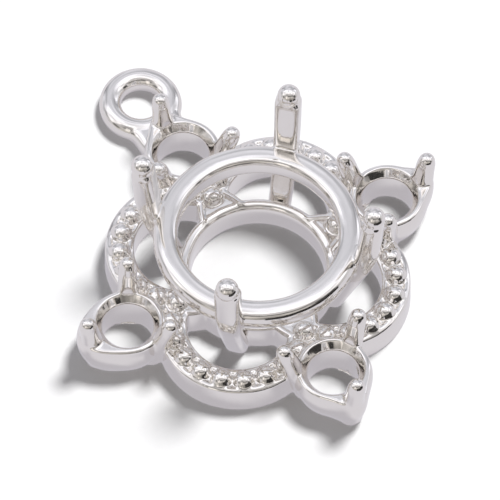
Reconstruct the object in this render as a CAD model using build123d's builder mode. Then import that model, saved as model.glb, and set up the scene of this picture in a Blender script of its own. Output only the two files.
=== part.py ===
from build123d import *

import os
from math import acos, cos, degrees, radians, sin, sqrt

# Dangle pendant mounting: a cast silver semi-mount for a round centre stone and four round accent stones.
# It lies flat on its back. Z is up and the origin is on the axis of the centre basket, in the plane of the
# back. +Y points to the hanging loop and +X to the accent collet on its right. All sizes are millimetres.

# Centre basket: a base ring on the back and a gallery ring that carries the stone
seat_count = 4
base_bore_radius = 3.0
base_ring_wall = 0.5
base_ring_height = 1.4
base_edge_round = 0.2
gallery_bore_radius = 3.6
gallery_wall = 1.08
gallery_bottom = 3.05
gallery_height = 1.15
gallery_outer_round = 0.48
gallery_inner_round = 0.2

# Centre claws: a leg leans out from the base ring, past the gallery ring, and bends at the knee into an
# upright claw with a ball tip
claw_turn = 45.0
claw_height = 7.8
claw_ball_radius = 0.41
claw_shoulder_drop = 0.72
claw_foot_width = 1.0
claw_tip_width = 1.18
leg_ring_sink = 0.3
leg_gallery_sink = 0.28
leg_depth = 0.75
knee_back_bend = 3.0
knee_face_bend = 1.0
tip_stand_out = 0.64
tip_depth = 0.92
claw_back_round = 0.3
claw_face_round = 0.12
claw_shoulder_round = 0.1

# Accent collets, one on each arm of the cross. The wall swells from a narrow foot to a belly under the rim.
collet_stand_off = 2.5755
collet_bore_radius = 1.18
collet_height = 1.9
collet_belly_height = 1.0
collet_foot_wall = 0.2
collet_belly_wall = 0.57
collet_rim_wall = 0.46
collet_rim_round = 0.1
collet_seat_depth = 0.4
collet_seat_width = 0.3
nose_foot_reach = 1.98
nose_belly_reach = 2.26
nose_rim_reach = 2.17
nose_round = 0.55

# Collet claws: one on the nose and two beside the basket
collet_claw_height = 3.5
collet_claw_foot_radius = 0.42
collet_claw_ball_radius = 0.39
nose_claw_foot_shift = 1.55
nose_claw_tip_shift = 2.05
side_claw_foot_shift = 1.2
side_claw_tip_shift = 2.2
side_claw_turn = 120.0

# Beaded bands, arched from collet to collet
band_centre_reach = 3.36
band_outer_radius = 3.6
band_width = 1.3
band_height = 1.48
band_edge_round = 0.1
channel_width = 0.84
channel_depth = 0.24
bead_radius = 0.46
bead_rise = 0.32
beads_per_side = 5

# Hanging loop, flat in the plane of the back
loop_reach = 10.55
loop_hole_radius = 0.9
loop_wire_radius = 0.5
loop_land_depth = 0.03
neck_half_width = 1.27
neck_root_shift = 1.6
neck_edge_round = 0.4

# The largest round that a wall takes on both of its edges, as a share of the wall
wall_round_share = 0.45

# How far a cutting body runs past the face that it cuts
overrun = 1.0

# Sizes that follow from the ones above: the basket
base_outer_radius = base_bore_radius + base_ring_wall
gallery_outer_radius = gallery_bore_radius + gallery_wall
gallery_top = gallery_bottom + gallery_height
leg_inner_radius = base_outer_radius - leg_ring_sink
leg_run = (gallery_outer_radius - leg_gallery_sink - leg_inner_radius) / gallery_bottom
tip_reach = gallery_outer_radius + tip_stand_out
shoulder_height = claw_height - claw_shoulder_drop
ball_height = claw_height - claw_ball_radius

# The bands, which share a bead where two of them cross
band_inner_radius = band_outer_radius - band_width
bead_circle_radius = band_outer_radius - band_width / 2
bead_height = band_height + bead_rise - bead_radius
band_turn = radians(claw_turn)
crossing_reach = band_centre_reach * cos(band_turn) + sqrt(
    bead_circle_radius**2 - (band_centre_reach * sin(band_turn)) ** 2
)
crossing_turn = degrees(
    acos(
        (crossing_reach**2 - band_centre_reach**2 - bead_circle_radius**2)
        / (2 * band_centre_reach * bead_circle_radius)
    )
)
bead_turn = crossing_turn / beads_per_side

# The collets, level by level: height, wall and reach of the nose
collet_reach = crossing_reach + collet_stand_off
collet_ball_height = collet_claw_height - collet_claw_ball_radius
collet_levels = [
    (0, collet_foot_wall, nose_foot_reach),
    (collet_belly_height, collet_belly_wall, nose_belly_reach),
    (collet_height, collet_rim_wall, nose_rim_reach),
]

# The loop's wire and the root of its neck
loop_wire_centre_radius = loop_hole_radius + loop_wire_radius - loop_land_depth
neck_root_reach = collet_reach + neck_root_shift


def wall_round(edge_round, wall):
    """The round on both edges of a wall, which leaves a flat between them."""
    return min(edge_round, wall_round_share * wall)


def ring_corners(bore, wall, low, high):
    """The corners of a plain ring's section, in the plane of its axis."""
    return [(bore, low), (bore + wall, low), (bore + wall, high), (bore, high)]


def leaning_claw(foot_shift, tip_shift):
    """A round claw with a ball tip, leaning out along +X. It starts below the back plane."""
    lean = Plane(
        origin=(foot_shift, 0, 0),
        x_dir=(collet_ball_height, 0, foot_shift - tip_shift),
        z_dir=(tip_shift - foot_shift, 0, collet_ball_height),
    )
    shaft_length = sqrt((tip_shift - foot_shift) ** 2 + collet_ball_height**2)
    with BuildPart() as claw:
        with BuildSketch(Plane.XZ):
            with BuildLine():
                Polyline(
                    (0, shaft_length + collet_claw_ball_radius),
                    (0, -overrun),
                    (collet_claw_foot_radius, -overrun),
                    (collet_claw_ball_radius, shaft_length),
                )
                RadiusArc(
                    (collet_claw_ball_radius, shaft_length),
                    (0, shaft_length + collet_claw_ball_radius),
                    -collet_claw_ball_radius,
                )
            make_face()
        revolve(axis=Axis.Z)
    return claw.part.moved(lean.location)


# Base ring. Its lower edges stay sharp, where the back is lapped flat.
with BuildPart() as base_ring:
    with BuildSketch(Plane.XZ) as base_section:
        with BuildLine():
            Polyline(*ring_corners(base_bore_radius, base_ring_wall, 0, base_ring_height), close=True)
        make_face()
        fillet(base_section.vertices().group_by(Axis.Y)[-1], wall_round(base_edge_round, base_ring_wall))
    revolve(axis=Axis.Z)

# Gallery ring, a thick band with a well rounded outside
with BuildPart() as gallery_ring:
    with BuildSketch(Plane.XZ) as gallery_section:
        with BuildLine():
            Polyline(
                *ring_corners(gallery_bore_radius, gallery_wall, gallery_bottom, gallery_top),
                close=True,
            )
        make_face()
        outer_corners = gallery_section.vertices().sort_by(Axis.X)[2:]
        fillet(outer_corners, wall_round(gallery_outer_round, gallery_height))
        inner_corners = gallery_section.vertices().sort_by(Axis.X)[:2]
        fillet(inner_corners, wall_round(gallery_inner_round, gallery_height))
    revolve(axis=Axis.Z)

# One centre claw, standing on +X: a bent side outline, tapered across, with the long edges rounded
with BuildPart() as centre_claw:
    with BuildSketch(Plane.XZ) as claw_side:
        with BuildLine():
            Polyline(
                (leg_inner_radius, 0),
                (leg_inner_radius + leg_depth, 0),
                (leg_inner_radius + leg_depth + leg_run * gallery_top, gallery_top),
                (tip_reach + tip_depth / 2, shoulder_height),
                (tip_reach - tip_depth / 2, shoulder_height),
                (leg_inner_radius + leg_run * gallery_bottom, gallery_bottom),
                close=True,
            )
        make_face()
        fillet(claw_side.vertices().sort_by(Axis.Y)[3], knee_back_bend)
        fillet(claw_side.vertices().sort_by(Axis.Y)[2], knee_face_bend)
    extrude(amount=claw_tip_width, both=True)
    with BuildSketch(Plane.YZ):
        with BuildLine():
            Polyline(
                (-claw_foot_width / 2, 0),
                (claw_foot_width / 2, 0),
                (claw_tip_width / 2, shoulder_height),
                (-claw_tip_width / 2, shoulder_height),
                close=True,
            )
        make_face()
    extrude(amount=tip_reach + tip_depth, mode=Mode.INTERSECT)
    back_faces = centre_claw.faces().filter_by(lambda face: face.normal_at().X > 0.5)
    fillet(back_faces.edges().filter_by(Axis.Y, reverse=True), claw_back_round)
    front_faces = centre_claw.faces().filter_by(lambda face: face.normal_at().X < -0.5)
    fillet(front_faces.edges().filter_by(Axis.Y, reverse=True), claw_face_round)
    fillet(centre_claw.faces().sort_by(Axis.Z)[-1].edges(), claw_shoulder_round)
    with BuildSketch(Plane.XY.offset(ball_height)):
        with Locations((tip_reach, 0)):
            Circle(claw_ball_radius)
    extrude(amount=-claw_shoulder_drop)
    with Locations((tip_reach, 0, ball_height)):
        Sphere(claw_ball_radius)

# The bore and the bevelled stone seat of a collet, as one turned cutter that also faces the claws
with BuildPart() as seat_cutter:
    with BuildSketch(Plane.XZ):
        with BuildLine():
            Polyline(
                (0, -overrun),
                (collet_bore_radius, -overrun),
                (collet_bore_radius, collet_height - collet_seat_depth),
                (collet_bore_radius + collet_seat_width, collet_height),
                (collet_bore_radius + collet_seat_width, collet_claw_height + overrun),
                (0, collet_claw_height + overrun),
                close=True,
            )
        make_face()
    revolve(axis=Axis.Z)

# One accent collet about the origin, with its pointed nose on +X
with BuildPart() as collet:
    for height, wall, nose_reach in collet_levels:
        with BuildSketch(Plane.XY.offset(height)):
            Circle(collet_bore_radius + wall)
            with Locations((nose_reach - nose_round, 0)):
                Circle(nose_round)
            make_hull()
    loft()
    fillet(collet.faces().sort_by(Axis.Z)[-1].edges(), collet_rim_round)
    add(leaning_claw(nose_claw_foot_shift, nose_claw_tip_shift))
    for turn in (side_claw_turn, -side_claw_turn):
        add(leaning_claw(side_claw_foot_shift, side_claw_tip_shift).rotate(Axis.Z, turn))
    Cylinder(
        nose_claw_tip_shift + overrun,
        2 * overrun,
        align=(Align.CENTER, Align.CENTER, Align.MAX),
        mode=Mode.SUBTRACT,
    )
    add(seat_cutter.part, mode=Mode.SUBTRACT)

# One beaded band as a whole ring about the origin, and the channel that is cut along its top
with BuildPart() as band:
    with BuildSketch(Plane.XY):
        Circle(band_outer_radius)
        Circle(band_inner_radius, mode=Mode.SUBTRACT)
    extrude(amount=band_height)
    fillet(band.faces().sort_by(Axis.Z)[-1].edges(), band_edge_round)

with BuildPart() as channel:
    with BuildSketch(Plane.XY.offset(band_height - channel_depth)):
        Circle(bead_circle_radius + channel_width / 2)
        Circle(bead_circle_radius - channel_width / 2, mode=Mode.SUBTRACT)
    extrude(amount=channel_depth + overrun)

# The four bands end in the wall of the base ring
with BuildPart() as beaded_bands:
    with PolarLocations(band_centre_reach, seat_count, claw_turn):
        add(band.part)
    Cylinder(
        base_bore_radius + base_ring_wall / 2,
        band_height + overrun,
        align=(Align.CENTER, Align.CENTER, Align.MIN),
        mode=Mode.SUBTRACT,
    )
    with PolarLocations(band_centre_reach, seat_count, claw_turn):
        add(channel.part, mode=Mode.SUBTRACT)
    for band_place in PolarLocations(band_centre_reach, seat_count, claw_turn):
        for bead_number in range(1 - beads_per_side, beads_per_side):
            around = radians(bead_number * bead_turn)
            bead_spot = (bead_circle_radius * cos(around), bead_circle_radius * sin(around), bead_height)
            with Locations(band_place * Location(bead_spot)):
                Sphere(bead_radius)
    with PolarLocations(crossing_reach, seat_count):
        with Locations((0, 0, bead_height)):
            Sphere(bead_radius)

# Neck of the hanging loop: a rounded web that narrows from the loop to the collet on +Y
with BuildPart() as neck:
    with BuildSketch(Plane.XY):
        with Locations((0, loop_reach)):
            Circle(loop_wire_centre_radius + loop_wire_radius)
        with Locations((0, neck_root_reach)):
            Circle(neck_half_width)
        make_hull()
    extrude(amount=2 * loop_wire_radius)
    neck_edges = neck.faces().filter_by(Axis.Z).edges()
    fillet(neck_edges, wall_round(neck_edge_round, 2 * loop_wire_radius))
    with BuildSketch(Plane.XY.offset(-overrun)):
        with Locations((0, loop_reach)):
            Circle(loop_wire_centre_radius)
            Rectangle(
                4 * loop_wire_centre_radius,
                2 * loop_wire_centre_radius,
                align=(Align.CENTER, Align.MIN),
            )
    extrude(amount=2 * loop_wire_radius + 2 * overrun, mode=Mode.SUBTRACT)

# Hanging loop: a ring of round wire, with its hole drilled to size
with BuildPart() as hanging_loop:
    with Locations((0, loop_reach, loop_wire_radius)):
        Torus(loop_wire_centre_radius, loop_wire_radius)
    add(neck.part)
    with Locations((0, loop_reach, loop_wire_radius)):
        Cylinder(loop_hole_radius, 2 * loop_wire_radius + overrun, mode=Mode.SUBTRACT)

# The whole mounting is one casting
with BuildPart() as mounting:
    add(base_ring.part)
    add(gallery_ring.part)
    with PolarLocations(0, seat_count, claw_turn):
        add(centre_claw.part)
    add(beaded_bands.part)
    with PolarLocations(collet_reach, seat_count):
        add(collet.part)
    add(hanging_loop.part)
    with PolarLocations(collet_reach, seat_count):
        add(seat_cutter.part, mode=Mode.SUBTRACT)

os.makedirs("parts", exist_ok=True)
mounting.part.label = "mounting"
export_step(mounting.part, "parts/mounting.step")
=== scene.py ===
"""A cast silver pendant mounting, waxed, cast, polished and set on a pale studio floor."""

import logging
import math
from collections.abc import Callable
from dataclasses import dataclass, field
from enum import Enum
from typing import Any

import bmesh
import bpy
from mathutils import Matrix, Vector, noise


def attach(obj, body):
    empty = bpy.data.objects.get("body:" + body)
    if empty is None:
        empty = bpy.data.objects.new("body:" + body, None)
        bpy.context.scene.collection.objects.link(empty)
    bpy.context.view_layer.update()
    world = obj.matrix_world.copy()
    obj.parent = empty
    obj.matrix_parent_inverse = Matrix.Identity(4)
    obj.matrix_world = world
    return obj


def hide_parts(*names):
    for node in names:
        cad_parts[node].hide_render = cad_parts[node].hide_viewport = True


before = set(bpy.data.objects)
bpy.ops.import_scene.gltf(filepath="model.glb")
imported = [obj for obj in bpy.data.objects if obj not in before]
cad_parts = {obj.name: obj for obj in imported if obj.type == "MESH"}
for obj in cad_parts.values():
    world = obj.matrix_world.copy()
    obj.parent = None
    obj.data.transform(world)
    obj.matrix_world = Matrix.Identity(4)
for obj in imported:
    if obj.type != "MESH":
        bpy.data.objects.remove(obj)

log = logging.getLogger("mounting")

Loop = list[Vector]
Section = list[tuple[float, float]]
Tree = bpy.types.NodeTree
Socket = bpy.types.NodeSocket
MM = 0.001
UP = Vector((0.0, 0.0, 1.0))
# The turns of the four diagonals, where the centre claws and the middles of the bands are, in degrees
DIAGONALS = (45, 135, 225, 315)
# The colour sockets of a mix node: both inputs, and the output
MIX_A, MIX_B, MIX_RESULT = 6, 7, 2


class Arm(Enum):
    """The four arms of the cross, by the turn of each about the basket's axis in degrees."""

    RIGHT = 0
    TOP = 90
    LEFT = 180
    BOTTOM = 270


# Modelling in wax: every form is a row of closed loops with a skin over them


def blend(low: float, high: float, share: float) -> float:
    """Return the value that lies a share of the way from low to high."""
    return low + (high - low) * share


def spread(low: float, high: float, steps: int) -> list[float]:
    """Return evenly spread values from low to high, both included."""
    return [blend(low, high, step / steps) for step in range(steps + 1)]


def polar(radius: float, angle: float, height: float = 0.0) -> Vector:
    """Return the point at a radius, an angle in radians and a height."""
    return Vector((radius * math.cos(angle), radius * math.sin(angle), height))


def turned(degrees: float, reach: float = 0.0) -> Matrix:
    """Return the place on the arm with this turn, moved out along the arm by a reach."""
    return Matrix.Rotation(math.radians(degrees), 4, "Z") @ Matrix.Translation((reach, 0.0, 0.0))


def rounded_outline(corners: list[Vector], rounds: list[float], steps: int) -> list[Vector]:
    """Round the corners of a flat closed outline.

    Args:
        corners: The sharp corners, in order.
        rounds: How far each corner's round runs along both its sides, which is its radius on a square one.
        steps: Into how many short lines each round is divided.

    Returns:
        The points of the outline, in the corners' order.
    """
    outline = []
    for index, corner in enumerate(corners):
        before, after = corners[index - 1], corners[(index + 1) % len(corners)]
        start = corner + (before - corner).normalized() * rounds[index]
        end = corner + (after - corner).normalized() * rounds[index]
        for share in spread(0.0, 1.0, steps):
            outline.append(start.lerp(corner, share).lerp(corner.lerp(end, share), share))
    return outline


def turned_section(section: Section, segments: int) -> list[Loop]:
    """Turn a section about the axis, as on a lathe.

    Args:
        section: Radius and height of the section's points, as one closed outline.
        segments: How many sections stand round the axis.

    Returns:
        One loop for each section. The last one meets the first.
    """
    angles = spread(0.0, math.tau, segments)[:-1]
    return [[polar(radius, angle, height) for radius, height in section] for angle in angles]


def wire_loop(centre: Vector, axis: Vector, side: Vector, radius: float, points: int) -> Loop:
    """Draw one round loop of a wire.

    Args:
        centre: The middle of the loop.
        axis: The wire's direction, which the loop is square to.
        side: The direction from the middle to the loop's first point.
        radius: The wire's radius.
        points: How many points the loop has.

    Returns:
        The loop's points, in order.
    """
    front = axis.cross(side)
    angles = spread(0.0, math.tau, points)[:-1]
    return [centre + (side * math.cos(angle) + front * math.sin(angle)) * radius for angle in angles]


def new_object(name: str, data: bpy.types.ID) -> bpy.types.Object:
    """Make an object and link it to the scene.

    Args:
        name: The object's name.
        data: Its mesh, light or camera.

    Returns:
        The object.
    """
    made = bpy.data.objects.new(name, data)
    bpy.context.scene.collection.objects.link(made)
    return made


@dataclass
class WaxTree:
    """The wax forms of one casting, melted together before the silver is poured."""

    voxel: float = 0.05
    soften_share: float = 0.5
    soften_rounds: int = 9
    triangles: int = 186000
    ball_divisions: int = 4
    # The pitch and height of the wobbles that polishing leaves, the long one first
    wobbles: tuple[tuple[float, float], ...] = ((1.6, 0.022), (0.7, 0.005))
    mesh: bmesh.types.BMesh = field(default_factory=bmesh.new)

    def add_form(
        self,
        loops: list[Loop],
        place: Matrix,
        joined: bool = False,
        trim: Callable[[Vector], Vector] | None = None,
    ) -> None:
        """Skin a row of loops and put the form on the tree.

        Args:
            loops: Loops with equally many points, each closed on itself.
            place: Where the form goes on the mounting.
            joined: Whether the last loop meets the first. Otherwise both ends are capped.
            trim: Moves a point that a burr cuts away onto the burr's surface.
        """
        rows = []
        for loop in loops:
            rows.append([self.mesh.verts.new(place @ (trim(point) if trim else point)) for point in loop])
        pairs = list(zip(rows, rows[1:])) + ([(rows[-1], rows[0])] if joined else [])
        for lower, upper in pairs:
            for index in range(len(lower)):
                after = (index + 1) % len(lower)
                self.mesh.faces.new((lower[index], lower[after], upper[after], upper[index]))
        if not joined:
            self.mesh.faces.new(list(reversed(rows[0])))
            self.mesh.faces.new(rows[-1])

    def add_ball(self, place: Matrix, radius: float) -> None:
        """Put one wax ball on the tree, at a place."""
        bmesh.ops.create_icosphere(self.mesh, subdivisions=self.ball_divisions, radius=radius, matrix=place)

    def cast(self, name: str) -> bpy.types.Object:
        """Melt the forms together and turn them into one skin of metal.

        Args:
            name: The name of the casting.

        Returns:
            The casting, in metres, with soft junctions and a smooth shaded skin.
        """
        bmesh.ops.recalc_face_normals(self.mesh, faces=self.mesh.faces)
        wax = bpy.data.meshes.new(name + "_wax")
        self.mesh.to_mesh(wax)
        self.mesh.free()
        casting = new_object(name, wax)

        melt = casting.modifiers.new("melt", "REMESH")
        melt.mode = "VOXEL"
        melt.voxel_size = self.voxel
        soften = casting.modifiers.new("soften", "SMOOTH")
        soften.factor = self.soften_share
        soften.iterations = self.soften_rounds
        self.apply_modifiers(casting)

        faces = sum(len(face.vertices) - 2 for face in casting.data.polygons)
        thin = casting.modifiers.new("thin", "DECIMATE")
        thin.ratio = min(1.0, self.triangles / faces)
        self.apply_modifiers(casting)
        self.finish_skin(casting.data)
        log.info("%s: %d wax faces, %d faces cast", name, faces, len(casting.data.polygons))
        return casting

    def apply_modifiers(self, piece: bpy.types.Object) -> None:
        """Turn a piece's modifiers into its mesh.

        Args:
            piece: The piece whose modifiers are applied and removed.
        """
        bpy.context.view_layer.update()
        evaluated = piece.evaluated_get(bpy.context.evaluated_depsgraph_get())
        made = bpy.data.meshes.new_from_object(evaluated)
        piece.modifiers.clear()
        piece.data = made

    def finish_skin(self, skin: bpy.types.Mesh) -> None:
        """Give the skin the slight wobble of a polished casting, lap its back flat and scale it to metres.

        Args:
            skin: The casting's mesh in millimetres.
        """
        normals = [vertex.normal.copy() for vertex in skin.vertices]
        for vertex, normal in zip(skin.vertices, normals):
            rise = sum(height * noise.noise(vertex.co / pitch) for pitch, height in self.wobbles)
            moved = vertex.co + normal * rise
            moved.z = max(moved.z, 0.0)
            vertex.co = moved * MM
        skin.polygons.foreach_set("use_smooth", [True] * len(skin.polygons))
        skin.update()


# Sub-assemblies of the mounting, in millimetres


@dataclass
class TurnedRing:
    """A plain ring of the basket, turned from an oblong section with rounded corners."""

    bore_radius: float
    wall: float
    bottom: float
    height: float
    # The rounds of the inner foot, the outer foot, the outer top and the inner top
    rounds: tuple[float, float, float, float]
    round_steps: int
    segments: int

    def model(self, wax: WaxTree) -> None:
        """Turn the ring and put it on the tree.

        Args:
            wax: The tree that takes the form.
        """
        inner, outer = self.bore_radius, self.bore_radius + self.wall
        low, top = self.bottom, self.bottom + self.height
        corners = [Vector(corner) for corner in ((inner, low), (outer, low), (outer, top), (inner, top))]
        outline = rounded_outline(corners, list(self.rounds), self.round_steps)
        section = [(point.x, point.y) for point in outline]
        wax.add_form(turned_section(section, self.segments), Matrix(), joined=True)


@dataclass
class BaseRing(TurnedRing):
    """The plain ring on the back, under the basket."""

    bore_radius: float = 3.0
    wall: float = 0.5
    bottom: float = 0.0
    height: float = 1.4
    rounds: tuple[float, float, float, float] = (0.12, 0.02, 0.05, 0.44)
    round_steps: int = 8
    segments: int = 240


@dataclass
class GalleryRing(TurnedRing):
    """The thick, well rounded ring of the basket that carries the centre stone."""

    bore_radius: float = 3.6
    wall: float = 1.08
    bottom: float = 3.05
    height: float = 1.15
    rounds: tuple[float, float, float, float] = (0.38, 0.52, 0.52, 0.38)
    round_steps: int = 6
    segments: int = 320


@dataclass
class CentreClaw:
    """One basket claw: a leaning leg, a knee beside the gallery ring and an upright with a ball tip."""

    leg_inner_radius: float = 3.2
    leg_depth: float = 0.75
    leg_run: float = 0.3934
    face_knee_height: float = 3.05
    back_knee_height: float = 4.2
    face_knee_bend: float = 0.4
    back_knee_bend: float = 1.0
    tip_reach: float = 5.32
    tip_depth: float = 0.92
    foot_width: float = 1.0
    tip_width: float = 1.2
    back_round: float = 0.44
    face_round: float = 0.32
    most_round_share: float = 0.9
    round_steps: int = 6
    shoulder_height: float = 7.08
    dome_start: float = 6.8
    dome_rise: float = 0.3
    dome_inset: float = 0.12
    dome_steps: int = 12
    ball_radius: float = 0.52
    height: float = 7.8
    steps: int = 110

    def bent_line(self, foot: float, tip: float, knee_height: float, bend: float, height: float) -> float:
        """Return how far out a line of the claw's side is: it leans up to the knee and then stands.

        Args:
            foot: The line's reach on the back plane.
            tip: The line's reach at the shoulder.
            knee_height: The height of the knee.
            bend: How far below and above the knee the line is curved.
            height: The height that is asked for.

        Returns:
            The reach at that height.
        """
        knee = foot + self.leg_run * knee_height
        rise = (tip - knee) / (self.shoulder_height - knee_height)
        over = height - knee_height
        if abs(over) < bend:
            share = (over + bend) / (2 * bend)
            return knee - self.leg_run * bend * (1 - share) ** 2 + rise * bend * share**2
        return knee + (self.leg_run if over < 0 else rise) * over

    def outline_at(self, height: float, inset: float) -> Loop:
        """Draw the claw's rounded oblong outline at a height.

        Args:
            height: The height above the back plane.
            inset: How far all four sides are drawn in.

        Returns:
            The outline's points, in order.
        """
        low = min(height, self.shoulder_height)
        tip_face, tip_back = self.tip_reach - self.tip_depth / 2, self.tip_reach + self.tip_depth / 2
        leg_face, leg_back = self.leg_inner_radius, self.leg_inner_radius + self.leg_depth
        face = self.bent_line(leg_face, tip_face, self.face_knee_height, self.face_knee_bend, low)
        back = self.bent_line(leg_back, tip_back, self.back_knee_height, self.back_knee_bend, low)
        half = blend(self.foot_width, self.tip_width, low / self.shoulder_height) / 2 - inset
        face, back = face + inset, back - inset
        plan = ((face, -half), (back, -half), (back, half), (face, half))
        most = self.most_round_share * min(half, (back - face) / 2)
        rounds = [min(r, most) for r in (self.face_round, self.back_round, self.back_round, self.face_round)]
        return rounded_outline([Vector((x, y, height)) for x, y in plan], rounds, self.round_steps)

    def model(self, wax: WaxTree, place: Matrix) -> None:
        """Loft the claw, ball its tip and put both on the tree.

        Args:
            wax: The tree that takes the forms.
            place: The claw's turn about the basket.
        """
        loops = [self.outline_at(height, 0.0) for height in spread(0.0, self.dome_start, self.steps)]
        for rise in spread(0.0, math.pi / 2, self.dome_steps)[1:]:
            height = self.dome_start + self.dome_rise * math.sin(rise)
            loops.append(self.outline_at(height, self.dome_inset * (1 - math.cos(rise))))
        wax.add_form(loops, place)
        ball = Vector((self.tip_reach, 0.0, self.height - self.ball_radius))
        wax.add_ball(place @ Matrix.Translation(ball), self.ball_radius)


@dataclass
class SeatBurr:
    """The bore and the bevelled seat of a collet, as the turned burr that opens them and faces the claws."""

    bore_radius: float = 1.15
    seat_width: float = 0.3
    seat_depth: float = 0.4
    collet_height: float = 1.9
    # A point nearer to the axis than this has no direction to be moved in
    axis_reach: float = 1e-6

    def radius_at(self, height: float) -> float:
        """Return the burr's radius at a height."""
        opened = (height - self.collet_height + self.seat_depth) / self.seat_depth
        return self.bore_radius + self.seat_width * min(max(opened, 0.0), 1.0)

    def trim(self, point: Vector) -> Vector:
        """Face a point off with the burr.

        Args:
            point: A point of a claw, from the collet's axis.

        Returns:
            The same point, or the one straight out from it on the burr if it is inside the burr.
        """
        radius = self.radius_at(point.z)
        reach = math.hypot(point.x, point.y)
        if reach >= radius or reach < self.axis_reach:
            return point
        return Vector((point.x * radius / reach, point.y * radius / reach, point.z))


@dataclass
class ColletClaw:
    """A round claw with a ball tip that leans out from a collet's foot."""

    foot_shift: float
    tip_shift: float
    height: float = 3.5
    foot_radius: float = 0.54
    stem_radius: float = 0.43
    ball_radius: float = 0.37
    # The stem tapers up to this share of its length, and in the rest it runs into the ball
    taper_share: float = 0.8
    neck_share: float = 0.2
    flare: float = 0.0
    flare_share: float = 0.5
    flare_spread: float = 0.22
    points: int = 56
    steps: int = 60
    ball_steps: int = 10
    pole_share: float = 0.98

    def radius_at(self, share: float) -> float:
        """Return the stem's radius: tapered, flared in the middle and run into the ball.

        Args:
            share: The share of the way from the foot to the ball's centre.

        Returns:
            The radius there.
        """
        radius = blend(self.foot_radius, self.stem_radius, min(share / self.taper_share, 1.0))
        radius += self.flare * math.exp(-(((share - self.flare_share) / self.flare_spread) ** 2))
        if share <= self.taper_share:
            return radius
        drawn_in = (share - self.taper_share) / self.neck_share
        return self.ball_radius + (radius - self.ball_radius) * math.sqrt(1 - drawn_in**2)

    def loops(self) -> list[Loop]:
        """Draw the claw, leaning out along +X.

        Returns:
            The claw's loops from the back plane to just under the ball's pole.
        """
        foot = Vector((self.foot_shift, 0.0, 0.0))
        ball = Vector((self.tip_shift, 0.0, self.height - self.ball_radius))
        axis = (ball - foot).normalized()
        side = Vector((0.0, 1.0, 0.0))
        made = []
        for share in spread(0.0, 1.0, self.steps):
            loop = wire_loop(foot.lerp(ball, share), axis, side, self.radius_at(share), self.points)
            made.append([p - axis * (p.z / axis.z) if p.z < 0 or share == 0 else p for p in loop])
        for share in spread(0.0, 1.0, self.ball_steps)[1:]:
            rise = math.pi / 2 * min(share, self.pole_share)
            centre = ball + axis * self.ball_radius * math.sin(rise)
            made.append(wire_loop(centre, axis, side, self.ball_radius * math.cos(rise), self.points))
        return made


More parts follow.
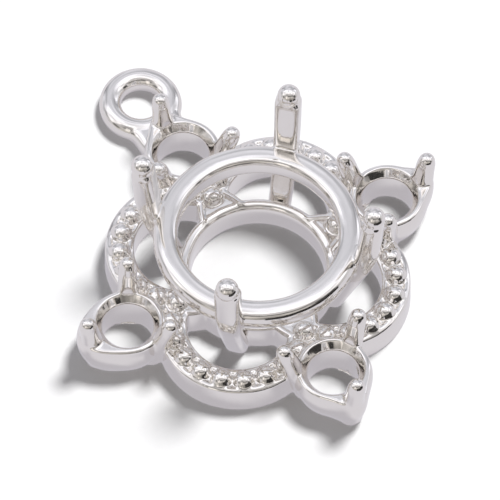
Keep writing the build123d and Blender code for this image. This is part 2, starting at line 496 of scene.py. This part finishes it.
@dataclass
class AccentCollet:
    """A bored collet with a pointed nose, a bevelled seat and three leaning claws."""

    arm: Arm
    reach: float = 6.7
    belly_height: float = 1.0
    foot_wall: float = 0.23
    belly_wall: float = 0.6
    rim_wall: float = 0.49
    nose_foot: float = 1.98
    nose_belly: float = 2.3
    nose_rim: float = 2.29
    nose_spread: float = 23.0
    rim_round: float = 0.15
    rim_steps: int = 4
    swell: float = 0.0
    swell_turn: float = 0.0
    swell_spread: float = 32.0
    swell_fade: float = 0.45
    burr: SeatBurr = field(default_factory=SeatBurr)
    nose_claw: ColletClaw = field(default_factory=lambda: ColletClaw(1.55, 2.05, flare=0.03))
    side_claw: ColletClaw = field(default_factory=lambda: ColletClaw(1.2, 2.2))
    side_claw_turn: float = 120.0
    segments: int = 200
    steps: int = 14

    def outline(self, angle: float, wall: float, nose: float) -> float:
        """Return the collet's outer radius in a direction: a circle drawn out to a small round nose.

        Args:
            angle: The direction from the collet's axis, in radians from the nose.
            wall: The wall about the bore, away from the nose.
            nose: The reach of the nose.

        Returns:
            The radius of the outline, which leaves the circle in a smooth curve.
        """
        body = self.burr.bore_radius + wall
        return body + (nose - body) * math.exp(-((math.degrees(angle) / self.nose_spread) ** 2))

    def wall_radius(self, angle: float, height: float) -> float:
        """Return the outer wall's radius at a height: a smooth curve through foot, belly and rim.

        Args:
            angle: The direction from the collet's axis, in radians from the nose.
            height: The height above the back plane.

        Returns:
            The radius, with the swell of a fuller flank added.
        """
        low = self.outline(angle, self.foot_wall, self.nose_foot)
        mid = self.outline(angle, self.belly_wall, self.nose_belly)
        top = self.outline(angle, self.rim_wall, self.nose_rim)
        belly, rim = self.belly_height, self.burr.collet_height
        curve = (
            low * (height - belly) * (height - rim) / (belly * rim)
            + mid * height * (height - rim) / (belly * (belly - rim))
            + top * height * (height - belly) / (rim * (rim - belly))
        )
        away = math.degrees(angle) - self.swell_turn
        full = 1 - self.swell_fade * (height / belly - 1) ** 2
        return curve + self.swell * full * math.exp(-((away / self.swell_spread) ** 2))

    def section(self, angle: float) -> Section:
        """Draw the collet's closed section: up the bore and the bevel, round the rim and down the wall.

        Args:
            angle: The direction from the collet's axis, in radians from the nose.

        Returns:
            Radius and height of the section's points.
        """
        burr, rim = self.burr, self.burr.collet_height
        bore_top = rim - burr.seat_depth
        points = [(burr.bore_radius, height) for height in (0.0, bore_top / 2, bore_top)]
        points.append((burr.bore_radius + burr.seat_width / 2, rim - burr.seat_depth / 2))
        points.append((burr.bore_radius + burr.seat_width, rim))
        shoulder = self.wall_radius(angle, rim - self.rim_round)
        for rise in spread(math.pi / 2, 0.0, self.rim_steps)[:-1]:
            inset = self.rim_round * (1 - math.cos(rise))
            points.append((shoulder - inset, rim - self.rim_round * (1 - math.sin(rise))))
        down = spread(rim - self.rim_round, 0.0, self.steps)
        return points + [(self.wall_radius(angle, height), height) for height in down]

    def model(self, wax: WaxTree) -> None:
        """Model the collet's wall and its claws and put them on the tree.

        Args:
            wax: The tree that takes the forms.
        """
        place = turned(self.arm.value, self.reach)
        loops = []
        for angle in spread(-math.pi, math.pi, self.segments)[:-1]:
            loops.append([polar(radius, angle, height) for radius, height in self.section(angle)])
        wax.add_form(loops, place, joined=True)
        wax.add_form(self.nose_claw.loops(), place, trim=self.burr.trim)
        for turn in (self.side_claw_turn, -self.side_claw_turn):
            spun = Matrix.Rotation(math.radians(turn), 4, "Z")
            loops = [[spun @ point for point in loop] for loop in self.side_claw.loops()]
            wax.add_form(loops, place, trim=self.burr.trim)


@dataclass
class BeadedBands:
    """Four arched bands from collet to collet, each with a channel along its top and beads in it."""

    centre_reach: float = 3.36
    outer_radius: float = 3.6
    width: float = 1.3
    height: float = 1.48
    edge_round: float = 0.2
    edge_cut_share: float = 0.3
    channel_width: float = 0.84
    channel_depth: float = 0.1
    channel_slope: float = 0.1
    foot_steps: int = 6
    lip_steps: int = 3
    bead_radius: float = 0.47
    bead_height: float = 1.37
    beads_per_side: int = 5
    end_radius: float = 3.25
    stations: int = 220
    # How unevenly the beads are set and how much their sizes differ, and where their noise is read
    bead_shift: float = 0.02
    bead_size_share: float = 0.03
    noise_step: float = 3.7
    noise_level: float = 1.3

    @property
    def bead_circle(self) -> float:
        """The radius of the circle that a band's beads stand on."""
        return self.outer_radius - self.width / 2

    def section(self) -> Section:
        """Draw the band's closed section: out along the foot, up, in across the channel and down.

        Returns:
            Radius and height of the section's points, with enough of them across the lips and the channel.
        """
        inner, outer, top = self.outer_radius - self.width, self.outer_radius, self.height
        small, cut = self.edge_round, self.edge_cut_share * self.edge_round
        channel_in = self.bead_circle - self.channel_width / 2
        channel_out = self.bead_circle + self.channel_width / 2
        floor_in, floor_out = channel_in + self.channel_slope, channel_out - self.channel_slope
        floor = top - self.channel_depth
        points = [(radius, 0.0) for radius in spread(inner, outer, self.foot_steps)]
        points += [(outer, floor), (outer, top - small), (outer - cut, top - cut)]
        points += [(radius, top) for radius in spread(outer - small, channel_out, self.lip_steps)]
        points += [(radius, floor) for radius in spread(floor_out, floor_in, self.foot_steps)]
        points += [(radius, top) for radius in spread(channel_in, inner + small, self.lip_steps)]
        return points + [(inner + cut, top - cut), (inner, top - small), (inner, floor)]

    def end_turn(self, radius: float) -> float:
        """Return how far round the band a line of its section runs before it ends in the base ring."""
        centre, end = self.centre_reach, self.end_radius
        return math.acos((end**2 - centre**2 - radius**2) / (2 * centre * radius))

    def open_channels(self, point: Vector) -> Vector:
        """Sink a point of the top wherever the next band's channel crosses it.

        Args:
            point: A point of a band that lies along +X.

        Returns:
            The same point, or the one under it on the channel's floor.
        """
        floor = self.height - self.channel_depth
        if point.z <= floor:
            return point
        for turn in (90, -90):
            centre = turned(turn) @ Vector((self.centre_reach, 0.0, 0.0))
            away = abs(math.hypot(point.x - centre.x, point.y - centre.y) - self.bead_circle)
            if away < self.channel_width / 2:
                return Vector((point.x, point.y, floor))
        return point

    def bead_places(self) -> list[Vector]:
        """Place the beads of one band that lies along +X.

        Returns:
            The middles of the band's own beads, and of the one that it shares with the next band.
        """
        centre, circle, diagonal = self.centre_reach, self.bead_circle, math.radians(45)
        crossing = centre * math.cos(diagonal) + math.sqrt(circle**2 - (centre * math.sin(diagonal)) ** 2)
        crossing_turn = math.acos((crossing**2 - centre**2 - circle**2) / (2 * centre * circle))
        middle = Vector((centre, 0.0, self.bead_height))
        places = []
        for number in range(1 - self.beads_per_side, self.beads_per_side + 1):
            around = crossing_turn * number / self.beads_per_side
            places.append(middle + polar(1.0, around) * circle)
        return places

    def model(self, wax: WaxTree) -> None:
        """Sweep the four bands, set their beads and put them on the tree.

        Args:
            wax: The tree that takes the forms.
        """
        middle, section = Vector((self.centre_reach, 0.0, 0.0)), self.section()
        loops = []
        for share in spread(-1.0, 1.0, self.stations):
            swept = [polar(radius, self.end_turn(radius) * share, height) for radius, height in section]
            loops.append([self.open_channels(middle + out) for out in swept])
        for turn in DIAGONALS:
            wax.add_form(loops, turned(turn))
            for number, spot in enumerate(self.bead_places()):
                seed = Vector((turn, number * self.noise_step, self.noise_level))
                shifted = spot + noise.noise_vector(seed) * self.bead_shift
                radius = self.bead_radius * (1 + self.bead_size_share * noise.noise(seed + UP))
                wax.add_ball(turned(turn) @ Matrix.Translation(shifted), radius)


@dataclass
class HangingLoop:
    """The closed ring of round wire beyond the top collet, and the broad neck that carries it."""

    reach: float = 10.55
    hole_radius: float = 0.9
    wire_radius: float = 0.5
    wire_centre_radius: float = 1.37
    wire_points: int = 48
    segments: int = 160
    neck_half_width: float = 1.24
    neck_round: float = 0.4
    neck_drop: float = 0.06
    neck_end: float = 0.95
    # The neck's widest end, as a share of the wire's circle that it ends in
    neck_share: float = 0.95
    flare_reach: float = 8.8
    flare: float = 0.45
    collet_reach: float = 6.7
    root_radius: float = 1.34
    side_steps: int = 30
    end_steps: int = 24
    edge_steps: int = 8

    def wire_section(self) -> Section:
        """Draw the wire's closed section about the loop's axis, flat where the hole is drilled.

        Returns:
            Radius and height of the section's points.
        """
        section = []
        for angle in spread(0.0, math.tau, self.wire_points)[:-1]:
            radius = self.wire_centre_radius + self.wire_radius * math.cos(angle)
            section.append((max(radius, self.hole_radius), self.wire_radius * (1 + math.sin(angle))))
        return section

    def neck_width(self, reach: float) -> float:
        """Return half the neck's width at a reach: straight, and flared into the loop."""
        flared = max(reach - self.flare_reach, 0.0)
        return self.neck_half_width + self.flare * flared**2

    def neck_outline(self, inset: float) -> Section:
        """Return the neck's outline in plan, from the collet's wall to the middle of the loop's wire.

        Args:
            inset: How far the sides are drawn in, where the long edges are rounded.

        Returns:
            The points of the outline, as reach and distance to the side, going once round.
        """
        wire, root = self.wire_centre_radius, self.root_radius
        root_angle = math.asin((self.neck_half_width - inset) / root)
        start = self.collet_reach + root * math.cos(root_angle)
        reaches = spread(start, self.reach - self.neck_end, self.side_steps)
        side = [(reach, self.neck_width(reach) - inset) for reach in reaches]
        hole_angle = math.asin(min(side[-1][1], self.neck_share * wire) / wire)
        points = list(side)
        for angle in spread(hole_angle, -hole_angle, self.end_steps):
            points.append((self.reach - wire * math.cos(angle), wire * math.sin(angle)))
        points += [(reach, -half) for reach, half in reversed(side)]
        for angle in spread(-root_angle, root_angle, self.end_steps)[1:-1]:
            points.append((self.collet_reach + root * math.cos(angle), root * math.sin(angle)))
        return points

    def model(self, wax: WaxTree) -> None:
        """Turn the loop, stack its neck from outlines and put both on the tree.

        Args:
            wax: The tree that takes the forms.
        """
        place = turned(Arm.TOP.value)
        ring = turned_section(self.wire_section(), self.segments)
        wax.add_form(ring, place @ Matrix.Translation((self.reach, 0, 0)), joined=True)
        thick, small = 2 * self.wire_radius - self.neck_drop, self.neck_round
        levels = []
        for turn in spread(0.0, math.pi / 2, self.edge_steps):
            levels.append((small * (1 - math.cos(turn)), small * (1 - math.sin(turn))))
        levels += [(thick - height, inset) for height, inset in reversed(levels)]
        loops = [[Vector((x, y, height)) for x, y in self.neck_outline(inset)] for height, inset in levels]
        wax.add_form(loops, place)


# Finishes


def linear(colour: str) -> tuple[float, float, float, float]:
    """Turn an sRGB hex colour into the linear colour that a shader takes.

    Args:
        colour: Six hex digits after a hash sign.

    Returns:
        Red, green, blue and an alpha of one.
    """
    parts = [int(colour[index : index + 2], 16) / 255 for index in (1, 3, 5)]
    curved = [part / 12.92 if part <= 0.04045 else ((part + 0.055) / 1.055) ** 2.4 for part in parts]
    return (curved[0], curved[1], curved[2], 1.0)


def empty_tree(owner: bpy.types.Material | bpy.types.World) -> Tree:
    """Give a material or a world nodes of its own.

    Args:
        owner: The material or the world.

    Returns:
        Its node tree, with nothing in it.
    """
    owner.use_nodes = True
    owner.node_tree.nodes.clear()
    return owner.node_tree


def add_node(
    tree: Tree,
    kind: str,
    settings: dict[str | int, Any] | None = None,
    links: dict[str | int, Socket] | None = None,
) -> bpy.types.Node:
    """Add one node with its settings and the links that come into it.

    Args:
        tree: The node tree that takes it.
        kind: The node's type name.
        settings: Values for the node's own attributes, or for its input sockets by name or number.
        links: The output socket that feeds each input socket, by the input's name or number.

    Returns:
        The new node.
    """
    node = tree.nodes.new(kind)
    for name, value in (settings or {}).items():
        if isinstance(name, int) or name in node.inputs:
            node.inputs[name].default_value = value
        else:
            setattr(node, name, value)
    for name, source in (links or {}).items():
        tree.links.new(source, node.inputs[name])
    return node


@dataclass(frozen=True)
class BuffedSterling:
    """Sterling silver (925), lost-wax cast, tumbled and buffed on a wheel.

    Buffing gives a bright mirror that still shows the soft swell of the casting, with a faint patchy haze
    and fine wheel marks.
    """

    name: str = "buffed_sterling_silver"
    colour: str = "#F1EEEA"
    roughness_low: float = 0.05
    roughness_high: float = 0.14
    patch_mm: float = 0.8
    # The pitch and height in millimetres of the soft swell and of the wheel marks, and their noise's detail.
    # The marks are drawn twice as coarse as the real ones so that they show.
    relief: tuple[tuple[float, float, float], ...] = ((0.9, 0.008, 1.0), (0.06, 0.0006, 2.0))

    def material(self) -> bpy.types.Material:
        """Build the silver's material.

        Returns:
            The material, with its haze, swell and wheel marks from noise in real millimetres.
        """
        material = bpy.data.materials.new(self.name)
        tree = empty_tree(material)
        place = add_node(tree, "ShaderNodeTexCoord").outputs["Object"]
        patches = {"Scale": 1 / (self.patch_mm * MM), "Detail": 3.0, "Roughness": 0.55}
        haze = add_node(tree, "ShaderNodeTexNoise", patches, {"Vector": place})
        low, high = self.roughness_low, self.roughness_high
        ends = {"From Min": 0.35, "From Max": 0.7, "To Min": low, "To Max": high}
        rough = add_node(tree, "ShaderNodeMapRange", ends, {"Value": haze.outputs["Fac"]})
        normal: dict[str | int, Socket] = {}
        for pitch, height, detail in self.relief:
            scale = {"Scale": 1 / (pitch * MM), "Detail": detail}
            grain = add_node(tree, "ShaderNodeTexNoise", scale, {"Vector": place})
            links = {"Height": grain.outputs["Fac"], **normal}
            bump = add_node(tree, "ShaderNodeBump", {"Strength": 1.0, "Distance": height * MM}, links)
            normal = {"Normal": bump.outputs["Normal"]}
        metal = {"Base Color": linear(self.colour), "Metallic": 1.0}
        polish = {"Roughness": rough.outputs["Result"], **normal}
        silver = add_node(tree, "ShaderNodeBsdfPrincipled", metal, polish)
        add_node(tree, "ShaderNodeOutputMaterial", links={"Surface": silver.outputs["BSDF"]})
        return material


@dataclass(frozen=True)
class MattePaperSweep:
    """Heavy white photo paper, uncoated and matte, which takes a soft grey shadow and no gloss.

    What the silver mirrors of it is partly a painted reflection, as in the photo: for mirror rays the paper
    glows with a plain pale colour and no shadow.
    """

    name: str = "matte_white_paper"
    colour: str = "#F9F9F9"
    fibre_colour: str = "#F4F4F4"
    fibre_mm: float = 0.35
    # Painted reflection: the colour of the pale glow that mirror rays see in place of the paper, and how
    # much of the paper it replaces
    painted_reflection_colour: str = "#D1CED7"
    painted_reflection_share: float = 0.76

    def material(self) -> bpy.types.Material:
        """Build the paper's material.

        Returns:
            The material, with a very faint cloud of fibres, and a painted reflection: a pale glow of fixed
            colour that only mirror rays see.
        """
        material = bpy.data.materials.new(self.name)
        tree = empty_tree(material)
        place = add_node(tree, "ShaderNodeTexCoord").outputs["Object"]
        cloud = {"Scale": 1 / (self.fibre_mm * MM), "Detail": 4.0}
        fibres = add_node(tree, "ShaderNodeTexNoise", cloud, {"Vector": place})
        tints = {"data_type": "RGBA", MIX_A: linear(self.colour), MIX_B: linear(self.fibre_colour)}
        tint = add_node(tree, "ShaderNodeMix", tints, {"Factor": fibres.outputs["Fac"]})
        matte = {"Roughness": 1.0, "Specular IOR Level": 0.0}
        paper = add_node(tree, "ShaderNodeBsdfPrincipled", matte, {"Base Color": tint.outputs[MIX_RESULT]})
        # Painted reflection: a glowing sheet of fixed pale colour, mixed in only for mirror rays, so the
        # silver mirrors no shadow there
        plain = add_node(tree, "ShaderNodeEmission", {"Color": linear(self.painted_reflection_colour)})
        mirrored = add_node(tree, "ShaderNodeLightPath").outputs["Is Glossy Ray"]
        share = add_node(tree, "ShaderNodeMapRange", {"To Max": self.painted_reflection_share}, {"Value": mirrored})
        sheets = {"Fac": share.outputs["Result"], 1: paper.outputs["BSDF"], 2: plain.outputs["Emission"]}
        seen = add_node(tree, "ShaderNodeMixShader", links=sheets)
        add_node(tree, "ShaderNodeOutputMaterial", links={"Surface": seen.outputs["Shader"]})
        return material


@dataclass(frozen=True)
class BlackVelvet:
    """Black cotton velvet on a card, whose pile swallows the light, so that it mirrors as a dark band."""

    name: str = "black_velvet"
    colour: str = "#3C3A38"

    def material(self) -> bpy.types.Material:
        """Build the velvet's material.

        Returns:
            The material, the same all over.
        """
        material = bpy.data.materials.new(self.name)
        tree = empty_tree(material)
        cloth = {"Base Color": linear(self.colour), "Roughness": 1.0}
        pile = add_node(tree, "ShaderNodeBsdfPrincipled", cloth)
        add_node(tree, "ShaderNodeOutputMaterial", links={"Surface": pile.outputs["BSDF"]})
        return material


# The mounting, the studio and the camera


@dataclass
class Mounting:
    """The whole casting: basket, bands, collets and loop, waxed apart and cast in one."""

    finish: BuffedSterling = field(default_factory=BuffedSterling)
    wax: WaxTree = field(default_factory=WaxTree)

    def build(self) -> bpy.types.Object:
        """Model every sub-assembly on the wax tree and cast them in one piece.

        Returns:
            The casting.
        """
        BaseRing().model(self.wax)
        GalleryRing().model(self.wax)
        log.info("basket rings waxed")
        for turn in DIAGONALS:
            CentreClaw().model(self.wax, turned(turn))
        log.info("four centre claws waxed")
        BeadedBands().model(self.wax)
        log.info("four beaded bands waxed")
        for arm in Arm:
            collet = AccentCollet(arm)
            if arm is Arm.LEFT:
                # This one came out of the mould with a blunter nose and a fuller flank.
                collet = AccentCollet(arm, nose_spread=34.0, swell=0.2, swell_turn=-32.0)
            collet.model(self.wax)
            log.info("accent collet waxed on the %s arm", arm.name.lower())
        HangingLoop().model(self.wax)
        log.info("hanging loop waxed")
        return self.wax.cast("casting")

    def dress(self, casting: bpy.types.Object) -> None:
        """Give the casting its finish and its place in the frame.

        Args:
            casting: The piece that stands for the whole mounting.
        """
        casting.data.materials.clear()
        casting.data.materials.append(self.finish.material())
        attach(casting, "root")
        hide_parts("mounting")


@dataclass(frozen=True)
class Card:
    """A card or softbox in the room that the silver mirrors.

    It is set by the azimuth and elevation of its middle and by half its width and height, all in degrees,
    and by how bright it is, where white paper in full light is 1. Its edge is blurred over a share of the
    room's radius.
    """

    name: str
    azimuth: float
    elevation: float
    half_width: float
    half_height: float
    level: float
    blur: float = 0.06


@dataclass
class Studio:
    """A pale paper floor, a soft key light and the room of softboxes and cards that the silver mirrors."""

    floor_half_m: float = 1.5
    floor_drop_m: float = 0.00002
    floor_squares: int = 12
    paper_fill: float = 0.34
    key_strength: float = 2.9
    key_spread: float = 16.0
    key_right: float = 0.55
    key_up: float = 1.25
    flag_turn: float = -80.0
    flag_reach: float = 22.0
    flag_width: float = 28.0
    flag_height: float = 9.5
    far_azimuth: float = 60.0
    far_elevation: float = 10.0
    near_tint: str = "#F6F0EA"
    far_tint: str = "#F4F5FF"
    near_level: float = 0.55
    far_level: float = 0.75
    clutter_scale: float = 2.4
    clutter_depth: float = 0.4
    # Each card stays on its own side of the room, which begins at this sine and is blurred over this much
    side_edge: float = 0.1
    side_blur: float = 0.1
    cards: tuple[Card, ...] = (
        Card("overhead softbox", 60.0, 83.0, 56.0, 21.0, 1.25, 0.15),
        Card("dim gap under the lens", -118.0, 50.0, 36.0, 7.0, 0.2, 0.15),
        Card("dim low band in front", -95.0, 12.0, 50.0, 8.0, 0.34, 0.3),
        Card("black card at the front right", -56.0, 22.0, 12.0, 10.0, 0.1, 0.12),
        Card("dark card on the left", -180.0, 18.0, 10.0, 9.0, 0.22, 0.15),
        Card("bright strip at the front left", -150.0, 30.0, 6.0, 16.0, 1.1),
        Card("dim strip behind", 100.0, 20.0, 6.0, 25.0, 0.4, 0.25),
        Card("dim strip at the back right", 20.0, 22.0, 6.0, 22.0, 0.4, 0.3),
        Card("bright card on the right", 0.0, 32.0, 10.0, 20.0, 1.0),
        Card("bright card at the back left", 155.0, 36.0, 11.0, 16.0, 1.05),
    )

    def way_to(self, azimuth: float, elevation: float) -> Vector:
        """Return the direction with this azimuth from +X and this elevation, both in degrees."""
        turn, rise = math.radians(azimuth), math.radians(elevation)
        return Vector((math.cos(turn) * math.cos(rise), math.sin(turn) * math.cos(rise), math.sin(rise)))

    def lay_floor(self) -> None:
        """Lay the paper floor just under the mounting's flat back."""
        sheet = bmesh.new()
        squares = self.floor_squares
        bmesh.ops.create_grid(sheet, x_segments=squares, y_segments=squares, size=self.floor_half_m)
        mesh = bpy.data.meshes.new("floor")
        sheet.to_mesh(mesh)
        sheet.free()
        floor = new_object("floor", mesh)
        floor.location.z = -self.floor_drop_m
        mesh.materials.append(MattePaperSweep().material())
        log.info("floor laid")

    def hang_key(self) -> None:
        """Hang the key light, which whitens the paper and casts the shadow to the lower left.

        It is flagged off from the silver, so it leaves no spot in the mirror polish.
        """
        right, up, back = ProductCamera().axes()
        way = back + right * self.key_right + up * self.key_up
        lamp = bpy.data.lights.new("key_light", "SUN")
        lamp.energy = self.key_strength
        lamp.angle = math.radians(self.key_spread)
        light = new_object("key_light", lamp)
        light.rotation_euler = way.to_track_quat("Z", "Y").to_euler()
        light.visible_glossy = False
        log.info("key light hung")

    def stand_flag(self) -> None:
        """Stand a black card on the paper in front of the mounting, under the lens.

        It draws the dark lines along the rounded edges that face the camera. Only the silver sees it.
        """
        place = turned(self.flag_turn, self.flag_reach)
        half, top = self.flag_width / 2, self.flag_height
        corners = [(0, -half, 0), (0, half, 0), (0, half, top), (0, -half, top)]
        mesh = bpy.data.meshes.new("black_flag")
        mesh.from_pydata([place @ Vector(corner) * MM for corner in corners], [], [(0, 1, 2, 3)])
        flag = new_object("black_flag", mesh)
        flag.visible_camera = flag.visible_diffuse = flag.visible_shadow = False
        mesh.materials.append(BlackVelvet().material())
        log.info("black flag stood in front")

    def card_mask(self, tree: Tree, way: Socket, card: Card) -> Socket:
        """Add the shape of a card in the room.

        Args:
            tree: The room's node tree.
            way: The direction that is looked in.
            card: The card.

        Returns:
            One on the card and zero off it, with soft edges.
        """
        middle = self.way_to(card.azimuth, card.elevation)
        side = self.way_to(card.azimuth + 90.0, 0.0)
        width, height = (math.sin(math.radians(half)) for half in (card.half_width, card.half_height))
        mask = None
        for axis, edge, blur, both_ends in (
            (side, width, card.blur, True),
            (middle.cross(side), height, card.blur, True),
            (middle, self.side_edge, self.side_blur, False),
        ):
            along = add_node(tree, "ShaderNodeVectorMath", {"operation": "DOT_PRODUCT", 1: axis}, {0: way})
            value = along.outputs["Value"]
            if both_ends:
                away = add_node(tree, "ShaderNodeMath", {"operation": "ABSOLUTE"}, {0: value})
                value = away.outputs["Value"]
            settings = {
                "interpolation_type": "SMOOTHSTEP",
                "From Min": edge - blur / 2,
                "From Max": edge + blur / 2,
                "To Min": float(both_ends),
                "To Max": float(not both_ends),
            }
            share = add_node(tree, "ShaderNodeMapRange", settings, {"Value": value}).outputs["Result"]
            if mask is not None:
                product = add_node(tree, "ShaderNodeMath", {"operation": "MULTIPLY"}, {0: mask, 1: share})
                share = product.outputs["Value"]
            mask = share
        return mask

    def light_room(self) -> None:
        """Light the room: a brighter far wall, a dimmer near one, softboxes, and dark cards for the accents.

        The room's light on the paper is held down, as flags do in a studio, so the shadow stays grey.
        """
        world = bpy.data.worlds.new("studio_room")
        tree = empty_tree(world)
        way = add_node(tree, "ShaderNodeTexCoord").outputs["Generated"]
        far_way = self.way_to(self.far_azimuth, self.far_elevation)
        far = add_node(tree, "ShaderNodeVectorMath", {"operation": "DOT_PRODUCT", 1: far_way}, {0: way})
        farness = add_node(
            tree, "ShaderNodeMapRange", {"From Min": -0.8, "From Max": 0.6}, {"Value": far.outputs["Value"]}
        ).outputs["Result"]
        tints = {"data_type": "RGBA", MIX_A: linear(self.near_tint), MIX_B: linear(self.far_tint)}
        tint = add_node(tree, "ShaderNodeMix", tints, {"Factor": farness})
        walls = {"A": self.near_level, "B": self.far_level}
        level = add_node(tree, "ShaderNodeMix", walls, {"Factor": farness}).outputs["Result"]
        for card in self.cards:
            links = {"Factor": self.card_mask(tree, way, card), "A": level}
            level = add_node(tree, "ShaderNodeMix", {"B": card.level}, links).outputs["Result"]
            log.info("%s set in the room", card.name)
        coarse = {"Scale": self.clutter_scale, "Detail": 1.0}
        clutter = add_node(tree, "ShaderNodeTexNoise", coarse, {"Vector": way})
        low, high = 1.0 - self.clutter_depth, 1.0 + self.clutter_depth
        ends = {"From Min": 0.3, "From Max": 0.7, "To Min": low, "To Max": high}
        uneven = add_node(tree, "ShaderNodeMapRange", ends, {"Value": clutter.outputs["Fac"]})
        room = add_node(
            tree, "ShaderNodeMath", {"operation": "MULTIPLY"}, {0: level, 1: uneven.outputs["Result"]}
        )
        depth = add_node(tree, "ShaderNodeLightPath").outputs["Diffuse Depth"]
        on_paper = add_node(tree, "ShaderNodeMath", {"operation": "MINIMUM", 1: 1.0}, {0: depth})
        links = {"Factor": on_paper.outputs["Value"], "A": room.outputs["Value"]}
        held = add_node(tree, "ShaderNodeMix", {"B": self.paper_fill}, links)
        light = {"Color": tint.outputs[MIX_RESULT], "Strength": held.outputs["Result"]}
        sky = add_node(tree, "ShaderNodeBackground", links=light)
        add_node(tree, "ShaderNodeOutputWorld", links={"Surface": sky.outputs["Background"]})
        bpy.context.scene.world = world
        log.info("room lit")

    def set_up(self) -> None:
        """Lay the floor, stand the black flag, light the room and hang the key light."""
        self.lay_floor()
        self.stand_flag()
        self.light_room()
        self.hang_key()


@dataclass
class ProductCamera:
    """A long lens on a stand, above the floor, looking down on the mounting from its lower left."""

    azimuth: float = -30.316
    elevation: float = 57.226
    roll: float = 0.271
    distance_mm: float = 600.0
    view_width_mm: float = 22.42
    aim_right_mm: float = -0.344
    aim_up_mm: float = 1.380
    sensor_mm: float = 36.0
    clip_near_m: float = 0.01
    clip_far_m: float = 10.0

    def axes(self) -> tuple[Vector, Vector, Vector]:
        """Work out the directions that the camera stands by.

        Returns:
            The camera's right, up and backward directions.
        """
        turn, rise, roll = (math.radians(a) for a in (self.azimuth, self.elevation, self.roll))
        back = Vector((math.sin(turn) * math.cos(rise), -math.cos(turn) * math.cos(rise), math.sin(rise)))
        right = Vector((math.cos(turn), math.sin(turn), 0.0))
        up = back.cross(right)
        rolled_right = right * math.cos(roll) + up * math.sin(roll)
        rolled_up = up * math.cos(roll) - right * math.sin(roll)
        return rolled_right, rolled_up, back

    def set_up(self) -> None:
        """Stand the camera and make it the scene's own."""
        right, up, back = self.axes()
        lens = bpy.data.cameras.new("product_camera")
        lens.sensor_width = self.sensor_mm
        lens.lens = self.sensor_mm * self.distance_mm / self.view_width_mm
        lens.clip_start, lens.clip_end = self.clip_near_m, self.clip_far_m
        camera = new_object("product_camera", lens)
        aim = right * self.aim_right_mm + up * self.aim_up_mm
        stand = Matrix.Translation((aim + back * self.distance_mm) * MM)
        camera.matrix_world = stand @ Matrix((right, up, back)).transposed().to_4x4()
        bpy.context.scene.camera = camera
        log.info("camera set, lens %.0f mm", lens.lens)


def main() -> None:
    """Set the camera, cast and dress the mounting, and light it."""
    logging.basicConfig(level=logging.INFO, format="%(name)s: %(message)s")
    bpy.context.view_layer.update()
    ProductCamera().set_up()
    mounting = Mounting()
    mounting.dress(mounting.build())
    Studio().set_up()
    bpy.context.scene.view_settings.view_transform = "Standard"


if __name__ == "__main__":
    main()
